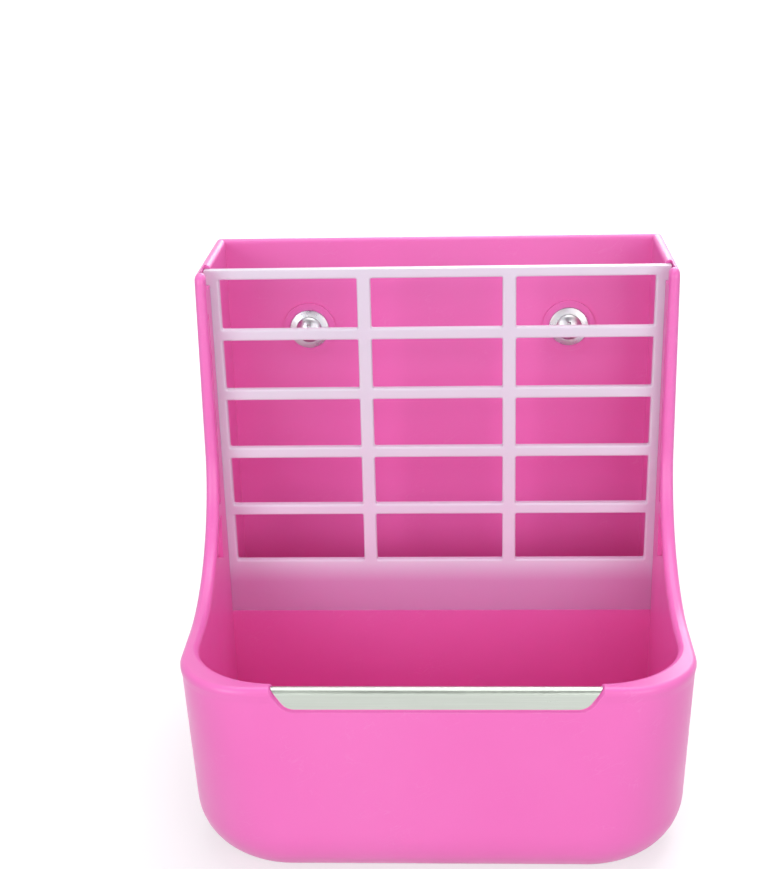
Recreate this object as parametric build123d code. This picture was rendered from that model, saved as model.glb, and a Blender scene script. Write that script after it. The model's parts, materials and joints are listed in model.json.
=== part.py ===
from build123d import *
from math import radians, tan
import os

# Feeder for small caged animals: a food bowl in front of a hay rack, in one plastic shell,
# with a slide-in grille, a steel guard on the bowl's rim and two bolts that clamp it to cage wire.
# Millimetres. +Z is up, the bowl faces -Y, and the origin is the centre of the base's footprint.

# Shell, overall
shell_width = 170.0
shell_depth = 155.0
shell_height = 185.0
rim_height = 74.0
corner_round = 24.5
base_corner_round = 38.5
bottom_round = 19.2
back_round = 1.5
lip_outer_round = 1.9
lip_inner_round = 1.8
lip_flat = 0.1

# Shell, walls
rim_wall = 5.0
floor_wall = 3.2
rim_band = 2.6
rim_step = 0.4
rim_step_height = 2.5
side_draft = 0.85
front_draft = 0.65
inner_draft = 0.6
inner_corner_round = 28.1
floor_round = 15.5

# Wings: the side walls sweep down from the rack's front edge to the bowl's rim
wing_front = 19.0
wing_reach = 54.0
wing_drop = 44.3
wing_top_round = 3.0
wing_bead = 2.4
pocket_depth = 1.8
pocket_ledge = 4.0
pocket_ledge_rise = 23.0
pocket_rear_low = 17.0
pocket_rear_high = 23.0
pocket_top_gap = 15.0
pocket_bridge = 4.6
pocket_bridge_lift = 20.2

# Grille panel and the grooves that it slides in
grille_front = 30.2
grille_thick = 3.4
grille_top_gap = 1.3
grille_clearance = 0.3
groove_skin = 1.5
divider_height = 50.0
divider_lead = 0.7
divider_thick = 5.0
cell_rows = 5
cell_height = 18.6
grille_bar = 4.1
grille_post = 4.9
top_rail = 3.5
middle_cell = 47.2
stile_show = 3.2
bar_round = 0.8
cell_corner = 0.6
lead_in_depth = 7.5
lead_in_height = 6.5

# Steel guard folded over the bowl's front rim
guard_top_width = 107.0
guard_bottom_width = 95.5
guard_drop = 7.0
guard_sheet = 0.7
guard_recess = 1.2
guard_recess_bevel = 1.0
guard_corner = 5.0
guard_fold_flat = 0.1
guard_clearance = 0.6

# Cage fixings: bolt, head washer, clamp washer and wing nut, left and right
fixing_inset = 35.0
fixing_drop = 35.0
bolt_diameter = 5.0
bolt_length = 25.0
bolt_tip_chamfer = 0.6
bolt_hole_clearance = 0.3
head_diameter = 10.0
head_height = 2.6
drive_width = 5.4
drive_slot = 1.1
drive_depth = 1.5
pad_diameter = 20.0
pad_wall = 5.2
head_washer_diameter = 15.0
head_washer_thick = 1.0
clamp_washer_diameter = 26.0
clamp_washer_thick = 1.6
seat_gap = 0.3
nut_clearance = 0.05
nut_diameter = 9.5
nut_neck = 7.5
nut_height = 6.0
nut_wing_span = 27.0
nut_wing_rise = 12.5
nut_wing_thick = 2.2
nut_wing_lift = 0.8
nut_wing_overlap = 0.6
nut_wing_tip = 4.5
nut_wing_slant = 1.5
nut_wing_round = 1.4

# Worked out from the sizes above
front_y = -shell_depth / 2
back_y = shell_depth / 2
half_width = shell_width / 2
fixing_x = half_width - fixing_inset
fixing_height = shell_height - fixing_drop
band_bottom = rim_height - rim_band
wing_centre_y = wing_front - wing_reach
wing_centre_z = rim_height + wing_drop
divider_front = grille_front - divider_lead
groove_front = grille_front - grille_clearance
groove_back = grille_front + grille_thick + grille_clearance
groove_half_width = half_width - groove_skin
grille_half_width = groove_half_width - grille_clearance
cell_pitch = cell_height + grille_bar
grille_top = shell_height - grille_top_gap
cells_bottom = grille_top - top_rail - cell_rows * cell_pitch + grille_bar
guard_bend = rim_wall / 2 - guard_recess - guard_fold_flat / 2
bolt_radius = bolt_diameter / 2
pad_face_y = back_y - pad_wall
head_seat_y = pad_face_y - head_washer_thick
bolt_end_y = head_seat_y + bolt_length
clamp_washer_y = back_y + seat_gap
wing_nut_y = clamp_washer_y + clamp_washer_thick + seat_gap
loose_hole_radius = bolt_radius + bolt_hole_clearance

# Tools for cutting and joining reach this far past the faces that they cross
past = 30.0
sink = 1.0

# Edges and faces are found by their place, within this distance
near = 0.01


def inner_half_width(height):
    return half_width - rim_wall + (height - rim_height) * tan(radians(inner_draft))


def lip_rounds():
    """Radii on the lip's outer and inner edges, held within the wall at the rack's top."""
    wall = half_width - inner_half_width(shell_height) - lip_flat
    share = min(1.0, wall / (lip_outer_round + lip_inner_round))
    return lip_outer_round * share, lip_inner_round * share


def plan_face(height, half, front, back, corner):
    """Plan outline with square back corners and rounded front ones, at the given height."""
    box = Pos(0, (front + back) / 2) * Rectangle(2 * half, back - front)
    rounded = fillet(box.vertices().group_by(Axis.Y)[0], corner)
    return Pos(0, 0, height) * rounded


def front_and_side_edges(solid, height, back):
    """Edges of a plan outline at one height, without the straight one at the back."""
    level = solid.edges().filter_by_position(Axis.Z, height - near, height + near)
    return [edge for edge in level if edge.center().Y < back - near]


def across(profile):
    """Extrude a side profile (Y, Z) across the full width and past it."""
    return extrude(Plane.YZ * profile, half_width + past, both=True)


def facing_plane(y):
    return Plane(origin=(0, y, 0), x_dir=(1, 0, 0), z_dir=(0, -1, 0))


def facing(outline, front, back):
    """Extrude a front outline (X, Z) from one Y to another."""
    return extrude(facing_plane(back) * outline, back - front)


def box_between(low, high):
    size = [high[axis] - low[axis] for axis in range(3)]
    centre = [(high[axis] + low[axis]) / 2 for axis in range(3)]
    return Pos(*centre) * Box(*size)


def along_y(radius, front, back, x=0.0, z=0.0):
    """Cylinder on an axis parallel to Y."""
    return Pos(x, (front + back) / 2, z) * Rot(90, 0, 0) * Cylinder(radius, back - front)


def outer_body():
    """Solid outside of the shell: tapered below the rim band, upright above it."""
    wall_top = band_bottom - rim_step_height
    side_inset = rim_step + wall_top * tan(radians(side_draft))
    front_inset = rim_step + wall_top * tan(radians(front_draft))
    base = plan_face(0, half_width - side_inset, front_y + front_inset, back_y + past, base_corner_round)
    wall = plan_face(wall_top, half_width - rim_step, front_y + rim_step, back_y + past, corner_round)
    band = plan_face(band_bottom, half_width, front_y, back_y + past, corner_round)
    lower = loft([base, wall], ruled=True)
    lower = fillet(front_and_side_edges(lower, 0, back_y + past), bottom_round)
    upper = extrude(band, shell_height - band_bottom)
    body = lower + loft([wall, band], ruled=True) + upper - across(wing_void())
    body &= box_between(
        (-half_width - past, front_y - past, -past), (half_width + past, back_y, shell_height)
    )
    back_edges = body.edges().filter_by_position(Axis.Y, back_y - near, back_y + near)
    return fillet(back_edges.sort_by(Axis.Z)[:-1], back_round)


def wing_void():
    """Side profile of the open space above the bowl and in front of the rack."""
    top = shell_height + past
    with BuildSketch() as sketch:
        with BuildLine():
            sweep_down = EllipticalCenterArc(
                (wing_centre_y, wing_centre_z), wing_reach, wing_drop, start_angle=270, arc_size=90
            )
            Polyline(
                sweep_down @ 0,
                (front_y - past, rim_height),
                (front_y - past, top),
                (wing_front + wing_top_round, top),
                (wing_front + wing_top_round, shell_height),
            )
            RadiusArc(
                (wing_front + wing_top_round, shell_height),
                (wing_front, shell_height - wing_top_round),
                -wing_top_round,
            )
            Line((wing_front, shell_height - wing_top_round), sweep_down @ 1)
        make_face()
    return sketch.sketch


def inner_cavity():
    """Everything inside the walls, from the floor up, with a rounded bottom edge."""
    top = shell_height + rim_band
    wall_low = half_width - inner_half_width(floor_wall)
    wall_high = half_width - inner_half_width(top)
    corner_low = base_corner_round - wall_low
    corner_slope = (inner_corner_round - corner_low) / (rim_height - floor_wall)
    corner_high = corner_low + corner_slope * (top - floor_wall)
    low = plan_face(floor_wall, half_width - wall_low, front_y + wall_low, back_y + past, corner_low)
    high = plan_face(top, half_width - wall_high, front_y + wall_high, back_y + past, corner_high)
    cavity = loft([low, high], ruled=True)
    cavity = fillet(front_and_side_edges(cavity, floor_wall, back_y + past), floor_round)
    back_plane = across(Polygon(
        (back_y - wall_low, floor_wall),
        (back_y - wall_high, top),
        (front_y - past, top),
        (front_y - past, floor_wall),
        align=None,
    ))
    return cavity & back_plane


def divider():
    """Upright rib between the bowl and the rack; the grille stands on it."""
    back = divider_front + divider_thick
    return box_between((-half_width, divider_front, 0), (half_width, back, divider_height))


def lip_edges(body, cavity):
    """Outer and inner edges of the shell's open lip: rim, wings and rack top."""
    void = across(wing_void())
    lip_faces = []
    for face in body.faces():
        spot = face.position_at(0.5, 0.5)
        on_top = abs(face.center().Z - shell_height) < near
        at_void = void.distance_to(Vertex(spot.X, spot.Y, spot.Z)) < near
        if on_top or (at_void and spot.Z > rim_height - near):
            lip_faces.append(face)
    outer, inner = [], []
    for face in lip_faces:
        for edge in face.edges():
            shared = sum(1 for other in lip_faces for twin in other.edges() if twin.is_same(edge))
            if shared == 1:
                middle = edge.position_at(0.5)
                on_cavity = cavity.distance_to(Vertex(middle.X, middle.Y, middle.Z)) < near
                (inner if on_cavity else outer).append(edge)
    return outer, inner


def same_edges(body, wanted):
    """The edges of a body that lie where the wanted ones did before an operation."""
    middles = [edge.position_at(0.5) for edge in wanted]
    kept = []
    for edge in body.edges():
        if any((edge.position_at(0.5) - spot).length < near for spot in middles):
            kept.append(edge)
    return kept


def pocket_outline():
    """Side outline (Y, Z) of the recess behind a wing's bead, parted by a narrow bridge."""
    ledge_z = rim_height + pocket_ledge
    ledge_front_z = ledge_z + (pocket_rear_low - wing_centre_y) * tan(radians(pocket_ledge_rise))
    top = shell_height - pocket_top_gap
    frame = Polygon(
        (wing_centre_y, ledge_front_z),
        (pocket_rear_low, ledge_z),
        (pocket_rear_high, wing_centre_z),
        (pocket_rear_high, top),
        (wing_centre_y, top),
        align=None,
    )
    sweep = Pos(wing_centre_y, wing_centre_z) * Ellipse(wing_reach + wing_bead, wing_drop + wing_bead)
    bead_y = wing_front + wing_bead
    above_sweep = Polygon(
        (wing_centre_y, wing_centre_z),
        (bead_y, wing_centre_z),
        (bead_y, top),
        (wing_centre_y, top),
        align=None,
    )
    bridge_z = rim_height + pocket_bridge_lift + pocket_bridge / 2
    bridge = Pos(wing_centre_y, bridge_z) * Rectangle(2 * wing_reach + past, pocket_bridge)
    return frame - sweep - above_sweep - bridge


def wing_pockets():
    start = inner_half_width(rim_height + pocket_ledge) - sink
    pockets = []
    for side in (-1, 1):
        plane = Plane(origin=(side * start, 0, 0), x_dir=(0, 1, 0), z_dir=(1, 0, 0))
        pockets.append(extrude(plane * pocket_outline(), (pocket_depth + sink) * side))
    return pockets


def grooves():
    """Grooves for the grille's edges, with a wider lead-in at the top."""
    cuts = []
    for side in (-1, 1):
        inner = side * (half_width - rim_wall - sink)
        outer = side * groove_half_width
        low_x, high_x = min(inner, outer), max(inner, outer)
        far_corner = (high_x, groove_back, shell_height + past)
        lead_in = (low_x, groove_front - lead_in_depth, shell_height - lead_in_height)
        cuts.append(box_between((low_x, groove_front, divider_height), far_corner))
        cuts.append(box_between(lead_in, far_corner))
    return cuts


def guard_outline(margin):
    """Front outline (X, Z) of the guard, grown by a margin, open upwards past the rim."""
    top = rim_height + guard_sheet + margin
    bottom = rim_height - guard_recess + guard_sheet - guard_drop - margin
    half_top = guard_top_width / 2 + margin
    half_bottom = guard_bottom_width / 2 + margin
    shape = Polygon(
        (-half_top, top), (-half_bottom, bottom), (half_bottom, bottom), (half_top, top), align=None
    )
    return fillet(shape.vertices().group_by(Axis.Y)[0], guard_corner + margin)


def guard_core_profile(grow, bend):
    """Side profile of the rim inside the guard, grown by a sheet's thickness, with rounded top edges."""
    front = front_y + guard_recess - grow
    back = front_y + rim_wall - guard_recess + grow
    top = rim_height - guard_recess + grow
    shape = Polygon((front, 0), (front, top), (back, top), (back, 0), align=None)
    return fillet(shape.vertices().group_by(Axis.Y)[-1], bend)


def guard_recess_cut():
    """Seat for the guard, open upwards, with a bevel along its front edge."""
    seat = facing(guard_outline(guard_clearance), front_y - past, front_y + rim_wall + past)
    bevel = loft([
        facing_plane(front_y + guard_recess) * guard_outline(guard_clearance),
        facing_plane(front_y) * guard_outline(guard_clearance + guard_recess_bevel),
    ], ruled=True)
    return seat + bevel - across(guard_core_profile(0, guard_bend))


def fixing_sides():
    return {"left": -fixing_x, "right": fixing_x}


def shell():
    cavity = inner_cavity()
    body = outer_body() - cavity
    outer, inner = lip_edges(body, cavity)
    outer_round, inner_round = lip_rounds()
    body = fillet(outer, outer_round)
    body = fillet(same_edges(body, inner), inner_round)
    body += divider() & cavity
    for x in fixing_sides().values():
        body += along_y(pad_diameter / 2, pad_face_y, back_y - sink, x, fixing_height)
        body -= along_y(loose_hole_radius, 0, back_y + past, x, fixing_height)
    for cut in grooves() + wing_pockets():
        body -= cut
    body -= guard_recess_cut()
    return body


def cell_outline(column, row):
    """Front outline of one opening; the outer columns follow the drafted side walls."""
    low = cells_bottom + row * cell_pitch
    high = low + cell_height
    inner = middle_cell / 2
    if column == "middle":
        corners = [(-inner, low), (inner, low), (inner, high), (-inner, high)]
    else:
        post_side = inner + grille_post
        far_low = inner_half_width(low) - stile_show
        far_high = inner_half_width(high) - stile_show
        corners = [(post_side, low), (far_low, low), (far_high, high), (post_side, high)]
    shape = Polygon(*corners, align=None)
    return fillet(shape.vertices(), cell_corner)


def grille_panel():
    grille_back = grille_front + grille_thick
    panel = box_between(
        (-grille_half_width, grille_front, divider_height), (grille_half_width, grille_back, grille_top)
    )
    for row in range(cell_rows):
        panel -= facing(cell_outline("middle", row), grille_front - past, grille_back + past)
        right_cell = facing(cell_outline("right", row), grille_front - past, grille_back + past)
        panel = panel - right_cell - mirror(right_cell, about=Plane.YZ)
    rims = []
    for edge in panel.edges():
        spot = edge.center()
        on_face = min(abs(spot.Y - grille_front), abs(spot.Y - grille_back)) < near
        inside = abs(spot.X) < grille_half_width - sink and cells_bottom - sink < spot.Z < grille_top - sink
        if on_face and inside:
            rims.append(edge)
    return fillet(rims, bar_round)


def chew_guard():
    """Folded strip: a U over the rim, its legs cut to the same outline."""
    skin = guard_core_profile(guard_sheet, guard_bend + guard_sheet)
    fold = across(skin - guard_core_profile(0, guard_bend))
    return fold & facing(guard_outline(0), front_y - past, front_y + past)


def washer(diameter, thick, front):
    hole = along_y(loose_hole_radius, front - past, front + thick + past)
    return along_y(diameter / 2, front, front + thick) - hole


def bolt():
    """Round-headed machine screw, its head inside the rack and its shank through the back wall."""
    dome = (head_diameter ** 2 / 4 + head_height ** 2) / (2 * head_height)
    head_top_y = head_seat_y - head_height
    head = Pos(0, head_top_y + dome, 0) * Sphere(dome)
    head &= along_y(head_diameter, head_top_y - past, head_seat_y)
    shank = along_y(bolt_radius, head_seat_y, bolt_end_y)
    shank = chamfer(shank.edges().group_by(Axis.Y)[-1], bolt_tip_chamfer)
    flat_slot = box_between(
        (-drive_width / 2, head_top_y - past, -drive_slot / 2),
        (drive_width / 2, head_top_y + drive_depth, drive_slot / 2),
    )
    tall_slot = Rot(0, 90, 0) * flat_slot
    return head + shank - flat_slot - tall_slot


def wing_nut():
    """Hub with a plain running bore and two raised wings."""
    hub_end = wing_nut_y + nut_height
    hub = loft([
        Plane(origin=(0, wing_nut_y, 0), z_dir=(0, 1, 0)) * Circle(nut_diameter / 2),
        Plane(origin=(0, hub_end, 0), z_dir=(0, 1, 0)) * Circle(nut_neck / 2),
    ])
    tip_y = wing_nut_y + nut_wing_rise
    root = nut_neck / 2 - nut_wing_overlap
    tip = nut_wing_span / 2
    blade = Polygon(
        (root, wing_nut_y + nut_wing_lift),
        (root, hub_end - nut_wing_lift),
        (tip - nut_wing_tip, tip_y),
        (tip, tip_y - nut_wing_slant),
        (tip - nut_wing_slant, wing_nut_y + nut_wing_tip),
        align=None,
    )
    blade = fillet(blade.vertices().sort_by(Axis.X)[2:], nut_wing_round)
    right = extrude(blade, nut_wing_thick / 2, both=True)
    wings = right + mirror(right, about=Plane.YZ)
    bore = along_y(bolt_radius + nut_clearance, wing_nut_y - past, tip_y + past)
    return hub + wings - bore


def fixings():
    nodes = {}
    for side, x in fixing_sides().items():
        place = Pos(x, 0, fixing_height)
        head_washer = washer(head_washer_diameter, head_washer_thick, head_seat_y)
        clamp_washer = washer(clamp_washer_diameter, clamp_washer_thick, clamp_washer_y)
        nodes[f"{side}_bolt"] = place * bolt()
        nodes[f"{side}_head_washer"] = place * head_washer
        nodes[f"{side}_clamp_washer"] = place * clamp_washer
        nodes[f"{side}_wing_nut"] = place * wing_nut()
    return nodes


def main():
    nodes = {"shell": shell(), "grille_panel": grille_panel(), "chew_guard": chew_guard()}
    nodes.update(fixings())
    os.makedirs("parts", exist_ok=True)
    for name, solid in nodes.items():
        export_step(solid, f"parts/{name}.step")
        size = solid.bounding_box().size
        print(f"{name}: {len(solid.solids())} solid, {solid.volume:.0f} mm3, "
              f"{size.X:.1f} x {size.Y:.1f} x {size.Z:.1f}")


main()
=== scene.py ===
import json
import math

import bmesh
import bpy
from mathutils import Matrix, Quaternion, Vector


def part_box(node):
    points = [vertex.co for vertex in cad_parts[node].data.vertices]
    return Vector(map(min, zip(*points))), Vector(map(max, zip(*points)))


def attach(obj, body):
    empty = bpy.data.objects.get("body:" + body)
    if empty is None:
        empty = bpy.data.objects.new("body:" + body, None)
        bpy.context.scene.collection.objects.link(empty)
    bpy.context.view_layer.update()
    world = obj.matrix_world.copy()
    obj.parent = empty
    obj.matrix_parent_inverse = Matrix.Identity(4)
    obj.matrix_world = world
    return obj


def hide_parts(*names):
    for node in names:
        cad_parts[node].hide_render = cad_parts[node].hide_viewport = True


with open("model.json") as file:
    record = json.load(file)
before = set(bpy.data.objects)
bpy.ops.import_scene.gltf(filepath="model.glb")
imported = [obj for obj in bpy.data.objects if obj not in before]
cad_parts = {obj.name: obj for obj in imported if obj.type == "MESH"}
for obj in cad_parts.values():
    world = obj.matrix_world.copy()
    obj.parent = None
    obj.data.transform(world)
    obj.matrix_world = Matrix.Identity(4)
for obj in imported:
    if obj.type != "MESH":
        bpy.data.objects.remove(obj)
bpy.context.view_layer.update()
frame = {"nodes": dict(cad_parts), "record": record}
print("frame loaded:", len(frame["nodes"]), "nodes")


# helpers for colours and node trees

white = (1.0, 1.0, 1.0, 1.0)


def fromDisplay(red, green, blue):
    # colours below are written as a screen shows them, 0 to 255; this undoes the screen's curve
    linear = []
    for value in (red, green, blue):
        share = value / 255
        linear.append(share / 12.92 if share <= 0.04045 else ((share + 0.055) / 1.055) ** 2.4)
    return (*linear, 1.0)


def addNode(tree, kind, inputs=None, **settings):
    # inputs go by name or number, and each is a plain value or another node's output
    node = tree.nodes.new(kind)
    for name, value in settings.items():
        setattr(node, name, value)
    for name, value in (inputs or {}).items():
        if isinstance(value, bpy.types.NodeSocket):
            tree.links.new(value, node.inputs[name])
        else:
            node.inputs[name].default_value = value
    return node


def addMath(tree, operation, first, second=0.0, clamp=False):
    inputs = {0: first, 1: second}
    return addNode(tree, "ShaderNodeMath", inputs, operation=operation, use_clamp=clamp).outputs[0]


def addRange(tree, value, low, high, newLow=0.0, newHigh=1.0):
    inputs = {"Value": value, "From Min": low, "From Max": high, "To Min": newLow, "To Max": newHigh}
    return addNode(tree, "ShaderNodeMapRange", inputs).outputs[0]


def addMix(tree, share, first, second):
    # the colour mix has its colours at inputs 6 and 7 and its result at output 2
    inputs = {"Factor": share, 6: first, 7: second}
    return addNode(tree, "ShaderNodeMix", inputs, data_type="RGBA").outputs[2]


def startGroup(name, inputs, output):
    group = bpy.data.node_groups.new(name, "ShaderNodeTree")
    for label, kind, value in inputs:
        socket = group.interface.new_socket(label, in_out="INPUT", socket_type=kind)
        if value is not None:
            socket.default_value = value
    group.interface.new_socket(output, in_out="OUTPUT", socket_type="NodeSocketFloat")
    given = group.nodes.new("NodeGroupInput").outputs
    result = group.nodes.new("NodeGroupOutput").inputs[output]
    return group, given, result


def useGroup(tree, group, inputs):
    return addNode(tree, "ShaderNodeGroup", inputs, node_tree=group).outputs[0]


# effects that several finishes share; lengths are in metres

mottleSet = {
    "detail": 3.0,
    "roughness": 0.45,
    "noiseRange": (0.3, 0.7),
}


def makeMottle():
    # slow cloudy change across the surface, 0 to 1
    group, given, result = startGroup("slow mottle", [
        ("Place", "NodeSocketVector", None),
        ("Patches per metre", "NodeSocketFloat", 20.0),
    ], "Mask")
    noise = addNode(group, "ShaderNodeTexNoise", {
        "Vector": given["Place"],
        "Scale": given["Patches per metre"],
        "Detail": mottleSet["detail"],
        "Roughness": mottleSet["roughness"],
    })
    group.links.new(addRange(group, noise.outputs["Fac"], *mottleSet["noiseRange"]), result)
    return group


grainSet = {
    "detail": 2.0,
    "roughness": 0.6,
    "cellShare": 0.5,
}


def makeGrain():
    # fine spark-eroded texture that a mould leaves on plastic
    group, given, result = startGroup("mould grain", [
        ("Place", "NodeSocketVector", None),
        ("Grains per metre", "NodeSocketFloat", 1500.0),
    ], "Height")
    noise = addNode(group, "ShaderNodeTexNoise", {
        "Vector": given["Place"],
        "Scale": given["Grains per metre"],
        "Detail": grainSet["detail"],
        "Roughness": grainSet["roughness"],
    })
    cells = addNode(group, "ShaderNodeTexVoronoi", {
        "Vector": given["Place"],
        "Scale": given["Grains per metre"],
    }, feature="SMOOTH_F1")
    pits = addMath(group, "MULTIPLY", cells.outputs["Distance"], grainSet["cellShare"])
    group.links.new(addMath(group, "ADD", pits, noise.outputs["Fac"]), result)
    return group


scratchSet = {
    "drawnOut": (0.03, 1.0, 1.0),
    "detail": 1.0,
    "lineWidth": 0.012,
    "breaksPerMetre": 55.0,
    "breakDetail": 2.0,
    "breakRange": (0.5, 0.62),
}


def makeScratches():
    # thin straight marks in one direction, broken up so that they come and go
    group, given, result = startGroup("hair scratches", [
        ("Place", "NodeSocketVector", None),
        ("Angle", "NodeSocketVector", (0.0, 0.0, 0.0)),
        ("Scratches per metre", "NodeSocketFloat", 400.0),
        ("Amount", "NodeSocketFloat", 0.5),
    ], "Mask")
    turned = addNode(group, "ShaderNodeVectorRotate", {
        "Vector": given["Place"],
        "Rotation": given["Angle"],
    }, rotation_type="EULER_XYZ").outputs[0]
    drawn = addNode(group, "ShaderNodeMapping", {"Vector": turned, "Scale": scratchSet["drawnOut"]})
    lines = addNode(group, "ShaderNodeTexNoise", {
        "Vector": drawn.outputs[0],
        "Scale": given["Scratches per metre"],
        "Detail": scratchSet["detail"],
    })
    # a line lies where the noise passes its middle value
    offCentre = addMath(group, "ABSOLUTE", addMath(group, "SUBTRACT", lines.outputs["Fac"], 0.5))
    thin = addRange(group, offCentre, 0.0, scratchSet["lineWidth"], 1.0, 0.0)
    breaks = addNode(group, "ShaderNodeTexNoise", {
        "Vector": given["Place"],
        "Scale": scratchSet["breaksPerMetre"],
        "Detail": scratchSet["breakDetail"],
    })
    kept = addRange(group, breaks.outputs["Fac"], *scratchSet["breakRange"])
    marks = addMath(group, "MULTIPLY", thin, kept)
    group.links.new(addMath(group, "MULTIPLY", marks, given["Amount"]), result)
    return group


wearSet = {
    "bevelSamples": 4,
    "edgeRange": (0.995, 0.9),
    "patchesPerMetre": 160.0,
    "detail": 4.0,
    "patchRange": (0.4, 0.65),
}


def makeEdgeWear():
    # 1 on edges that hands and teeth rub, broken up by noise
    group, given, result = startGroup("edge wear", [
        ("Place", "NodeSocketVector", None),
        ("Width", "NodeSocketFloat", 0.0008),
        ("Amount", "NodeSocketFloat", 0.5),
    ], "Mask")
    rounded = addNode(group, "ShaderNodeBevel", {"Radius": given["Width"]}, samples=wearSet["bevelSamples"])
    geometry = addNode(group, "ShaderNodeNewGeometry")
    agreement = addNode(group, "ShaderNodeVectorMath", {
        0: rounded.outputs[0],
        1: geometry.outputs["Normal"],
    }, operation="DOT_PRODUCT").outputs["Value"]
    edge = addRange(group, agreement, *wearSet["edgeRange"])
    noise = addNode(group, "ShaderNodeTexNoise", {
        "Vector": given["Place"],
        "Scale": wearSet["patchesPerMetre"],
        "Detail": wearSet["detail"],
    })
    patchy = addRange(group, noise.outputs["Fac"], *wearSet["patchRange"])
    rubbed = addMath(group, "MULTIPLY", edge, patchy)
    group.links.new(addMath(group, "MULTIPLY", rubbed, given["Amount"]), result)
    return group


mottle = makeMottle()
mouldGrain = makeGrain()
hairScratches = makeScratches()
edgeWear = makeEdgeWear()
print("shared effects ready")


# what every finish starts from; in each look below, "even" holds what is the same all over the surface

def startMaterial(name, even):
    material = bpy.data.materials.new(name)
    material.use_nodes = True
    tree = material.node_tree
    surface = tree.nodes["Principled BSDF"]
    for socket, value in even.items():
        surface.inputs[socket].default_value = value
    place = addNode(tree, "ShaderNodeTexCoord").outputs["Object"]
    return material, tree, surface, place


def addBump(tree, surface, height, distance, strength=1.0, under=None):
    inputs = {"Height": height, "Distance": distance, "Strength": strength}
    if under is not None:
        inputs["Normal"] = under
    bump = addNode(tree, "ShaderNodeBump", inputs).outputs[0]
    tree.links.new(bump, surface.inputs["Normal"])
    return bump


# pink shell: glossy moulded polypropylene

shellLook = {
    "colour": fromDisplay(247, 121, 199),
    "deepColour": fromDisplay(243, 112, 193),
    "wornColour": fromDisplay(251, 158, 216),
    "cloudsPerMetre": 14.0,
    "smudgesPerMetre": 45.0,
    "roughness": (0.29, 0.36),
    "grainsPerMetre": 1300.0,
    "grainHeight": 0.000012,
    "wavesPerMetre": 28.0,
    "waveHeight": 0.00004,
    "waveStrength": 0.5,
    "wear": {"Width": 0.0007, "Amount": 0.45},
    "flatScratches": {"Angle": (0.0, 0.5, 0.2), "Scratches per metre": 330.0, "Amount": 0.5},
    "steepScratches": {"Angle": (0.3, -0.9, 1.1), "Scratches per metre": 260.0, "Amount": 0.4},
    "scratchPaleness": 0.35,
    "scratchRoughness": 0.2,
    "scratchDepth": 0.00002,
    "even": {
        "Subsurface Weight": 0.06,
        "Subsurface Radius": (0.004, 0.0012, 0.003),
        "Subsurface Scale": 1.0,
        "IOR": 1.49,
    },
}


def makeShellPlastic(look):
    material, tree, surface, place = startMaterial("pinkShellPlastic", look["even"])
    cloudy = useGroup(tree, mottle, {"Place": place, "Patches per metre": look["cloudsPerMetre"]})
    smudges = useGroup(tree, mottle, {"Place": place, "Patches per metre": look["smudgesPerMetre"]})
    worn = useGroup(tree, edgeWear, {"Place": place, **look["wear"]})
    flat = useGroup(tree, hairScratches, {"Place": place, **look["flatScratches"]})
    steep = useGroup(tree, hairScratches, {"Place": place, **look["steepScratches"]})
    scratched = addMath(tree, "MAXIMUM", flat, steep)

    colour = addMix(tree, cloudy, look["colour"], look["deepColour"])
    paler = addMath(tree, "MULTIPLY", scratched, look["scratchPaleness"])
    colour = addMix(tree, paler, colour, look["wornColour"])
    colour = addMix(tree, worn, colour, look["wornColour"])
    tree.links.new(colour, surface.inputs["Base Color"])

    low, high = look["roughness"]
    rough = addRange(tree, smudges, 0.0, 1.0, low, high)
    rougher = addMath(tree, "MULTIPLY", scratched, look["scratchRoughness"])
    tree.links.new(addMath(tree, "ADD", rough, rougher), surface.inputs["Roughness"])

    grain = useGroup(tree, mouldGrain, {"Place": place, "Grains per metre": look["grainsPerMetre"]})
    fine = addBump(tree, surface, grain, look["grainHeight"])
    flow = useGroup(tree, mottle, {"Place": place, "Patches per metre": look["wavesPerMetre"]})
    waved = addBump(tree, surface, flow, look["waveHeight"], look["waveStrength"], fine)
    grooves = addMath(tree, "MULTIPLY", scratched, -1.0)
    addBump(tree, surface, grooves, look["scratchDepth"], under=waved)
    return material


# grille: the same plastic in a pale, milky shade, with painted pink bounce light from the bowl that grows
# stronger towards the bowl, added to the bounce that the renderer makes

grilleLook = {
    "topColour": fromDisplay(225, 216, 230),
    # the lower and apron colours are the pale plastic with painted pink bounce light from the bowl
    "lowPaintedBounceColour": fromDisplay(233, 213, 236),
    "apronPaintedBounceColour": fromDisplay(222, 161, 208),
    "cloudColour": fromDisplay(232, 217, 236),
    "edgeColour": fromDisplay(238, 231, 241),
    "lowBounceHeights": (0.070, 0.120),
    "apronBounceHeights": (0.062, 0.0695),
    "cloudsPerMetre": 32.0,
    "cloudShare": 0.35,
    "roughness": (0.3, 0.42),
    "wear": {"Width": 0.0006, "Amount": 0.5},
    "grainsPerMetre": 1500.0,
    "grainHeight": 0.000010,
    "sinksPerMetre": 60.0,
    "sinkHeight": 0.0001,
    "sinkStrength": 0.5,
    "even": {
        "Subsurface Weight": 0.2,
        "Subsurface Radius": (0.005, 0.004, 0.005),
        "Subsurface Scale": 1.0,
        "IOR": 1.49,
    },
}


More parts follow.
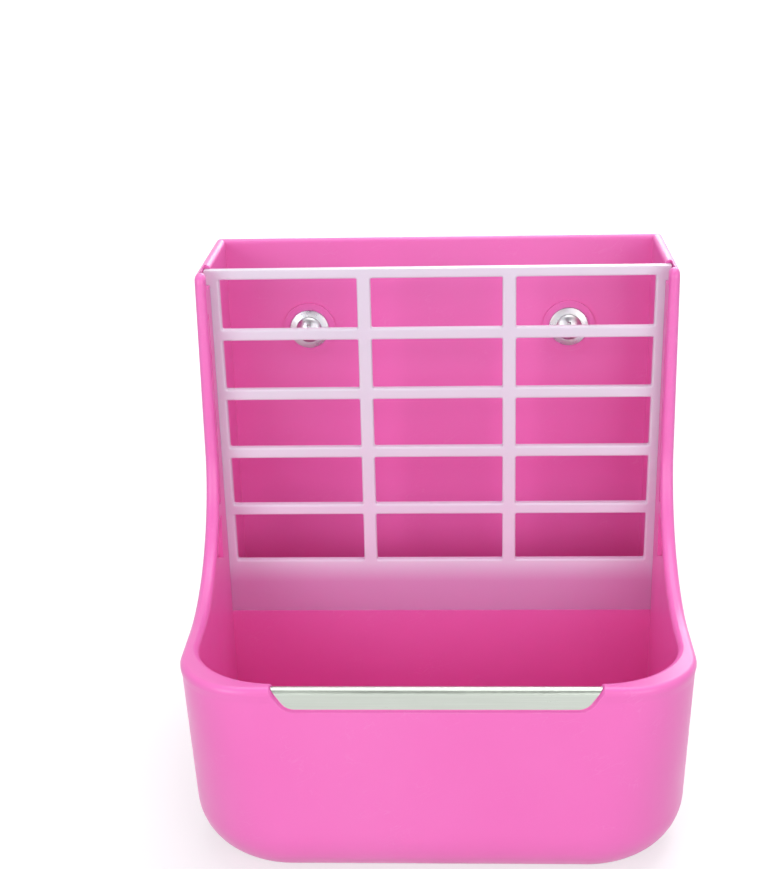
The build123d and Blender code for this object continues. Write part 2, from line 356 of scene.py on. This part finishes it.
def makeGrillePlastic(look):
    material, tree, surface, place = startMaterial("paleGrillePlastic", look["even"])
    height = addNode(tree, "ShaderNodeSeparateXYZ", {0: place}).outputs["Z"]
    cloudy = useGroup(tree, mottle, {"Place": place, "Patches per metre": look["cloudsPerMetre"]})
    worn = useGroup(tree, edgeWear, {"Place": place, **look["wear"]})

    # the two ranges of height above the base hold painted pink bounce light from the bowl: over each, one
    # colour gives way to the next, pinker lower down
    colour = addMix(tree, addRange(tree, height, *look["lowBounceHeights"]), look["lowPaintedBounceColour"], look["topColour"])
    clouds = addMath(tree, "MULTIPLY", cloudy, look["cloudShare"])
    colour = addMix(tree, clouds, colour, look["cloudColour"])
    colour = addMix(tree, addRange(tree, height, *look["apronBounceHeights"]), look["apronPaintedBounceColour"], colour)
    colour = addMix(tree, worn, colour, look["edgeColour"])
    tree.links.new(colour, surface.inputs["Base Color"])

    low, high = look["roughness"]
    tree.links.new(addRange(tree, cloudy, 0.0, 1.0, low, high), surface.inputs["Roughness"])

    grain = useGroup(tree, mouldGrain, {"Place": place, "Grains per metre": look["grainsPerMetre"]})
    fine = addBump(tree, surface, grain, look["grainHeight"])
    sinks = useGroup(tree, mottle, {"Place": place, "Patches per metre": look["sinksPerMetre"]})
    addBump(tree, surface, sinks, look["sinkHeight"], look["sinkStrength"], fine)
    return material


# chew guard: stainless strip, brushed along its length

guardLook = {
    "colour": fromDisplay(200, 207, 198),
    "dullColour": fromDisplay(184, 191, 181),
    "roughness": (0.26, 0.42),
    "drawnOut": (0.012, 1.0, 1.0),
    "linesPerMetre": 2600.0,
    "lineDetail": 4.0,
    "lineRoughness": 0.7,
    "lineRange": (0.3, 0.7),
    "lineShare": 0.6,
    "lineDepth": 0.000022,
    "smudgesPerMetre": 70.0,
    "smudgeShare": 0.3,
    "marks": {"Angle": (0.0, 0.12, 0.0), "Scratches per metre": 900.0, "Amount": 0.6},
    "markRoughness": 0.15,
    "markDepth": 0.000006,
    "even": {"Metallic": 1.0},
}


def makeGuardSteel(look):
    material, tree, surface, place = startMaterial("brushedGuardSteel", look["even"])
    drawn = addNode(tree, "ShaderNodeMapping", {"Vector": place, "Scale": look["drawnOut"]}).outputs[0]
    lines = addNode(tree, "ShaderNodeTexNoise", {
        "Vector": drawn,
        "Scale": look["linesPerMetre"],
        "Detail": look["lineDetail"],
        "Roughness": look["lineRoughness"],
    }).outputs["Fac"]
    streaks = addRange(tree, lines, *look["lineRange"])
    smudges = useGroup(tree, mottle, {"Place": place, "Patches per metre": look["smudgesPerMetre"]})
    marks = useGroup(tree, hairScratches, {"Place": place, **look["marks"]})

    dull = addMath(tree, "MULTIPLY", streaks, look["lineShare"])
    colour = addMix(tree, dull, look["colour"], look["dullColour"])
    dull = addMath(tree, "MULTIPLY", smudges, look["smudgeShare"])
    colour = addMix(tree, dull, colour, look["dullColour"])
    tree.links.new(colour, surface.inputs["Base Color"])

    low, high = look["roughness"]
    rough = addRange(tree, addMath(tree, "ADD", streaks, smudges), 0.0, 2.0, low, high)
    rougher = addMath(tree, "MULTIPLY", marks, look["markRoughness"])
    tree.links.new(addMath(tree, "ADD", rough, rougher), surface.inputs["Roughness"])

    brushed = addBump(tree, surface, lines, look["lineDepth"])
    addBump(tree, surface, marks, look["markDepth"], under=brushed)
    return material


# bolts, washers and wing nuts: bright zinc plate over pressed and cast steel

zincLook = {
    "colour": fromDisplay(206, 209, 212),
    "warmColour": fromDisplay(208, 203, 186),
    "coolColour": fromDisplay(186, 196, 212),
    "wornColour": fromDisplay(222, 223, 222),
    "warmPerMetre": 260.0,
    "warmShare": 0.4,
    "coolPerMetre": 150.0,
    "coolShare": 0.35,
    "roughness": (0.22, 0.42),
    "wear": {"Width": 0.0003, "Amount": 0.8},
    "pitsPerMetre": 2600.0,
    "pitDepth": 0.000012,
    "even": {"Metallic": 1.0},
}


def makeZincPlate(look):
    material, tree, surface, place = startMaterial("brightZincPlate", look["even"])
    warm = useGroup(tree, mottle, {"Place": place, "Patches per metre": look["warmPerMetre"]})
    cool = useGroup(tree, mottle, {"Place": place, "Patches per metre": look["coolPerMetre"]})
    worn = useGroup(tree, edgeWear, {"Place": place, **look["wear"]})

    warmer = addMath(tree, "MULTIPLY", warm, look["warmShare"])
    colour = addMix(tree, warmer, look["colour"], look["warmColour"])
    cooler = addMath(tree, "MULTIPLY", cool, look["coolShare"])
    colour = addMix(tree, cooler, colour, look["coolColour"])
    colour = addMix(tree, worn, colour, look["wornColour"])
    tree.links.new(colour, surface.inputs["Base Color"])

    low, high = look["roughness"]
    tree.links.new(addRange(tree, warm, 0.0, 1.0, low, high), surface.inputs["Roughness"])

    pits = useGroup(tree, mouldGrain, {"Place": place, "Grains per metre": look["pitsPerMetre"]})
    addBump(tree, surface, pits, look["pitDepth"])
    return material


finishes = {
    "pink_plastic": makeShellPlastic(shellLook),
    "pale_plastic": makeGrillePlastic(grilleLook),
    "guard_steel": makeGuardSteel(guardLook),
    "zinc_steel": makeZincPlate(zincLook),
}
slotOfNode = {part["node"]: part["material_slot"] for part in frame["record"]["subparts"]}
for name, node in frame["nodes"].items():
    for index in range(len(node.material_slots)):
        node.material_slots[index].material = finishes[slotOfNode[name]]
print("finishes on", len(frame["nodes"]), "nodes")


# fixings: turned, rolled and cast steel, finer than the solids that they stand for

fixingSet = {
    "segments": 40,
    "sharpDegrees": 32.0,
    "seamReach": 0.000001,
}


def skinRings(name, ringSets, capped=True):
    # each set of rings becomes one skin, and capped ones are closed at their first and last rings
    points, faces = [], []
    for rings in ringSets:
        count = len(rings[0])
        first = len(points)
        for ring in rings:
            points.extend(ring)
        for row in range(len(rings) - 1):
            low = first + row * count
            for index in range(count):
                after = (index + 1) % count
                faces.append((low + index, low + after, low + count + after, low + count + index))
        if capped:
            last = first + (len(rings) - 1) * count
            faces.append(tuple(range(first, first + count)))
            faces.append(tuple(range(last, last + count)))
    mesh = bpy.data.meshes.new(name)
    mesh.from_pydata(points, [], faces)
    return mesh


def editMesh(mesh, change):
    work = bmesh.new()
    work.from_mesh(mesh)
    change(work)
    work.to_mesh(mesh)
    work.free()


def faceOutwards(work):
    bmesh.ops.recalc_face_normals(work, faces=work.faces)


def mergeSeam(work):
    bmesh.ops.remove_doubles(work, verts=work.verts, dist=fixingSet["seamReach"])


def addToScene(name, mesh):
    thing = bpy.data.objects.new(name, mesh)
    bpy.context.scene.collection.objects.link(thing)
    return thing


def addFixing(mesh, node, body):
    editMesh(mesh, faceOutwards)
    mesh.shade_smooth()
    mesh.set_sharp_from_angle(angle=math.radians(fixingSet["sharpDegrees"]))
    mesh.materials.append(finishes["zinc_steel"])
    piece = addToScene(mesh.name, mesh)
    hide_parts(node)
    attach(piece, body)


def ringAt(centre, along, radii):
    # points round the bolt's axis, which runs along Y; the turn is counted from +Z towards +X
    ring = []
    for index, radius in enumerate(radii):
        turn = 2 * math.pi * index / len(radii)
        ring.append((centre[0] + radius * math.sin(turn), along, centre[1] + radius * math.cos(turn)))
    return ring


def nodeCentre(node):
    low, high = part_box(node)
    return ((low[0] + high[0]) / 2, (low[2] + high[2]) / 2)


# bolts: domed head with a driver's cross, rolled thread and chamfered tip

boltLook = {
    "headSegments": 120,
    "headRings": 34,
    "headRim": 0.0003,
    "armWidth": 0.0011,
    "armReach": 0.0027,
    "armDepth": 0.0016,
    "armSlope": 0.0009,
    "wallSlope": 0.00012,
    "wallShare": 0.5,
    "threadPitch": 0.0008,
    "threadMinor": 0.00208,
    "threadMajor": 0.0025,
    "rootShare": 0.2,
    "flankShare": 0.6,
    "rowsPerTurn": 8,
    "tipLength": 0.0006,
    "overlap": 0.0002,
}


def withinOne(value):
    return max(0.0, min(1.0, value))


def crossDepth(look, sideways, upward):
    # depth of the cross at a point of the head; at an arm's edge it is wallShare of the full depth
    deepest = 0.0
    for across, along in ((sideways, upward), (upward, sideways)):
        wall = (look["armWidth"] / 2 - abs(across)) / look["wallSlope"] + look["wallShare"]
        slope = (look["armReach"] - abs(along)) / look["armSlope"]
        deepest = max(deepest, withinOne(wall) * withinOne(slope) * look["armDepth"])
    return deepest


def headRings(look, centre, top, seat, radius):
    count = look["headSegments"]
    dome = seat - top - look["headRim"]
    rings = []
    for row in range(1, look["headRings"] + 1):
        reach = radius * math.sin(0.5 * math.pi * row / look["headRings"])
        level = top + dome * (1 - math.sqrt(max(0.0, 1 - (reach / radius) ** 2)))
        ring = []
        for point in ringAt(centre, level, [reach] * count):
            sink = crossDepth(look, point[0] - centre[0], point[2] - centre[1])
            ring.append((point[0], max(point[1], top + sink), point[2]))
        rings.append(ring)
    rings.append(ringAt(centre, seat, [radius] * count))
    rings.append(ringAt(centre, seat, [look["threadMinor"]] * count))
    return rings


def threadRings(look, centre, start, end):
    step = look["threadPitch"] / look["rowsPerTurn"]
    rows = int((end - start) / step)
    count = fixingSet["segments"]
    rings = []
    for row in range(rows + 1):
        along = start + (end - start) * row / rows
        chamfer = look["threadMajor"] - max(0.0, along - (end - look["tipLength"]))
        radii = []
        for index in range(count):
            phase = (along / look["threadPitch"] - index / count) % 1.0
            flank = withinOne((1 - abs(2 * phase - 1) - look["rootShare"]) / look["flankShare"])
            radius = look["threadMinor"] + (look["threadMajor"] - look["threadMinor"]) * flank
            radii.append(min(radius, chamfer))
        rings.append(ringAt(centre, along, radii))
    return rings


def makeBolt(look, side):
    node = side + "_bolt"
    low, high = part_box(node)
    centre = nodeCentre(node)
    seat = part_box(side + "_head_washer")[0][1]
    head = headRings(look, centre, low[1], seat, (high[0] - low[0]) / 2)
    shank = threadRings(look, centre, seat - look["overlap"], high[1])
    addFixing(skinRings(side + "ThreadedBolt", [head, shank]), node, "feeder")


# washers: punched, so that one outer edge is drawn in more than the other

washerLook = {
    "hole": 0.0028,
    "edgeRound": 0.0002,
    "roundMiddle": 0.3,
}


def makeWasher(look, node, name, body):
    low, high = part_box(node)
    front, back = low[1], high[1]
    hole, outer = look["hole"], (high[0] - low[0]) / 2
    drawn, sharp = look["edgeRound"], look["edgeRound"] / 2
    middle = drawn * look["roundMiddle"]
    # distance from the axis, place along it; the outline ends where it starts
    outline = [
        (hole, back - sharp), (hole, front + sharp), (hole + sharp, front), (outer - drawn, front),
        (outer - middle, front + middle), (outer, front + drawn), (outer, back - sharp),
        (outer - sharp, back), (hole + sharp, back), (hole, back - sharp),
    ]
    count = fixingSet["segments"] * 2
    rings = [ringAt(nodeCentre(node), along, [radius] * count) for radius, along in outline]
    mesh = skinRings(name, [rings], capped=False)
    editMesh(mesh, mergeSeam)
    addFixing(mesh, node, body)


# wing nuts: hub and two wings melted together as a casting, then bored

wingNutLook = {
    "wingThick": 0.0022,
    "bore": 0.00255,
    "boreSpare": 0.002,
    "voxel": 0.00022,
    "smoothing": 0.5,
    "smoothings": 7,
}

# outlines as distance from the axis and distance from the nut's foot: the hub narrows towards its top
hubOutline = [
    (0.004465, 0.0), (0.00475, 0.0005), (0.00456, 0.0018), (0.0037, 0.0057), (0.003441, 0.006),
]
wingOutline = [
    (0.0022, 0.0008), (0.0048, 0.0010), (0.0075, 0.0020), (0.0101, 0.0036), (0.0121, 0.0056),
    (0.0131, 0.0078), (0.0134, 0.0098), (0.0131, 0.0113), (0.0120, 0.0121), (0.0106, 0.0121),
    (0.0093, 0.0112), (0.0078, 0.0094), (0.0062, 0.0075), (0.0046, 0.0061), (0.0022, 0.0056),
]


def hubRings(centre, foot):
    count = fixingSet["segments"]
    return [ringAt(centre, foot + along, [radius] * count) for radius, along in hubOutline]


def wingRings(look, centre, foot, hand):
    half = look["wingThick"] / 2
    rings = []
    for level in (-half, half):
        rings.append([(centre[0] + hand * out, foot + up, centre[1] + level) for out, up in wingOutline])
    return rings


def boreRings(look, centre, foot):
    # the drill passes the hub's foot and top by boreSpare
    top = hubOutline[-1][1]
    radii = [look["bore"]] * fixingSet["segments"]
    return [ringAt(centre, foot + along, radii) for along in (-look["boreSpare"], top + look["boreSpare"])]


def castMesh(look, blank, drill):
    remesh = blank.modifiers.new("remesh", "REMESH")
    remesh.mode = "VOXEL"
    remesh.voxel_size = look["voxel"]
    smooth = blank.modifiers.new("smooth", "SMOOTH")
    smooth.factor = look["smoothing"]
    smooth.iterations = look["smoothings"]
    cut = blank.modifiers.new("bore", "BOOLEAN")
    cut.operation = "DIFFERENCE"
    cut.object = drill
    shaped = blank.evaluated_get(bpy.context.evaluated_depsgraph_get())
    return bpy.data.meshes.new_from_object(shaped)


def makeWingNut(look, side):
    node = side + "_wing_nut"
    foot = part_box(node)[0][1]
    centre = nodeCentre(node)
    skins = [hubRings(centre, foot)]
    for hand in (-1, 1):
        skins.append(wingRings(look, centre, foot, hand))
    rough = skinRings(side + "NutBlank", skins)
    editMesh(rough, faceOutwards)
    blank = addToScene(rough.name, rough)
    bore = skinRings(side + "NutBore", [boreRings(look, centre, foot)])
    drill = addToScene(bore.name, bore)
    mesh = castMesh(look, blank, drill)
    mesh.name = side + "CastWingNut"
    bpy.data.objects.remove(blank)
    bpy.data.objects.remove(drill)
    addFixing(mesh, node, side + "_nut")


for side in ("left", "right"):
    makeBolt(boltLook, side)
    makeWasher(washerLook, side + "_head_washer", side + "HeadWasher", "feeder")
    makeWasher(washerLook, side + "_clamp_washer", side + "ClampWasher", side + "_clamp")
    makeWingNut(wingNutLook, side)
print("fixings ready")


# studio: pale floor, soft lamps, white surroundings, and a dark card in front that only reflections show

floorLook = {
    "size": 12.0,
    "glow": (0.62, 0.92),
    "glowReach": (0.4, 2.2),
    "even": {
        "Base Color": (0.48, 0.48, 0.49, 1.0),
        "Roughness": 0.9,
        "Specular IOR Level": 0.0,
        "Emission Color": white,
    },
}


def seenDirectly(tree):
    # 1 where the camera, a reflection or a clear surface looks, 0 where light only falls
    path = addNode(tree, "ShaderNodeLightPath").outputs
    seen = addMath(tree, "ADD", path["Is Camera Ray"], path["Is Glossy Ray"])
    return addMath(tree, "ADD", seen, path["Is Transmission Ray"], clamp=True)


def makeFloor(look):
    half = look["size"] / 2
    corners = [(-half, -half, 0), (half, -half, 0), (half, half, 0), (-half, half, 0)]
    mesh = bpy.data.meshes.new("floor")
    mesh.from_pydata(corners, [], [(0, 1, 2, 3)])
    material, tree, surface, place = startMaterial("paleFloor", look["even"])
    away = addNode(tree, "ShaderNodeVectorMath", {0: place}, operation="LENGTH").outputs["Value"]
    glow = addRange(tree, away, *look["glowReach"], *look["glow"])
    tree.links.new(addMath(tree, "MULTIPLY", seenDirectly(tree), glow), surface.inputs["Emission Strength"])
    mesh.materials.append(material)
    addToScene("floor", mesh)


surroundings = {
    "fillColour": (0.96, 0.97, 1.0, 1.0),
    "fillStrength": 0.34,
    "cardColour": (0.05, 0.05, 0.05, 1.0),
    "cardTowards": (0.0, -0.88, 0.475),
    "cardEdge": (0.86, 0.92),
}


def makeWorld(look):
    world = bpy.data.worlds.new("studio")
    bpy.context.scene.world = world
    world.use_nodes = True
    tree = world.node_tree
    tree.nodes.clear()
    looking = addNode(tree, "ShaderNodeTexCoord").outputs["Generated"]
    facing = addNode(tree, "ShaderNodeVectorMath", {
        0: looking,
        1: look["cardTowards"],
    }, operation="DOT_PRODUCT").outputs["Value"]
    reflected = addNode(tree, "ShaderNodeLightPath").outputs["Is Glossy Ray"]
    card = addMath(tree, "MULTIPLY", addRange(tree, facing, *look["cardEdge"]), reflected)
    shown = addNode(tree, "ShaderNodeBackground", {"Color": addMix(tree, card, white, look["cardColour"])})
    fill = addNode(tree, "ShaderNodeBackground", {
        "Color": look["fillColour"],
        "Strength": look["fillStrength"],
    })
    both = addNode(tree, "ShaderNodeMixShader", {
        0: seenDirectly(tree),
        1: fill.outputs[0],
        2: shown.outputs[0],
    })
    addNode(tree, "ShaderNodeOutputWorld", {"Surface": both.outputs[0]})


lamps = {
    "topLamp": {"spot": (0.15, 0.2, 1.5), "aim": (0.0, 0.0, 0.08), "size": 1.1, "watts": 11.5},
    "rightLamp": {"spot": (0.5, -0.98, 0.3), "aim": (0.0, 0.0, 0.05), "size": 0.7, "watts": 4.8},
    "leftLamp": {"spot": (-0.62, -0.92, 0.3), "aim": (0.0, 0.0, 0.05), "size": 0.7, "watts": 5.2},
    "backLamp": {"spot": (0.35, 1.4, 0.9), "aim": (0.0, 0.0, 0.1), "size": 1.0, "watts": 12.0},
}


def pointAt(thing, spot, aim, rollDegrees=0.0):
    thing.location = spot
    roll = Quaternion((0.0, 0.0, 1.0), -math.radians(rollDegrees))
    thing.rotation_mode = "QUATERNION"
    thing.rotation_quaternion = (Vector(aim) - thing.location).to_track_quat("-Z", "Y") @ roll


def makeLamp(name, settings):
    data = bpy.data.lights.new(name, "AREA")
    data.shape = "SQUARE"
    data.size = settings["size"]
    data.energy = settings["watts"]
    pointAt(addToScene(name, data), settings["spot"], settings["aim"])


cameraSet = {
    "spot": (0.00965, -0.53884, 0.32361),
    "aim": (-0.01749, 0.0, 0.13197),
    "rollDegrees": 1.37,
    "lensMillimetres": 68.0,
    "clipReach": (0.01, 50.0),
}


def makeCamera(settings):
    data = bpy.data.cameras.new("camera")
    data.lens = settings["lensMillimetres"]
    data.clip_start, data.clip_end = settings["clipReach"]
    camera = addToScene("camera", data)
    pointAt(camera, settings["spot"], settings["aim"], settings["rollDegrees"])
    bpy.context.scene.camera = camera


makeFloor(floorLook)
makeWorld(surroundings)
for name, settings in lamps.items():
    makeLamp(name, settings)
makeCamera(cameraSet)
bpy.context.scene.view_settings.view_transform = "Standard"
print("studio ready")
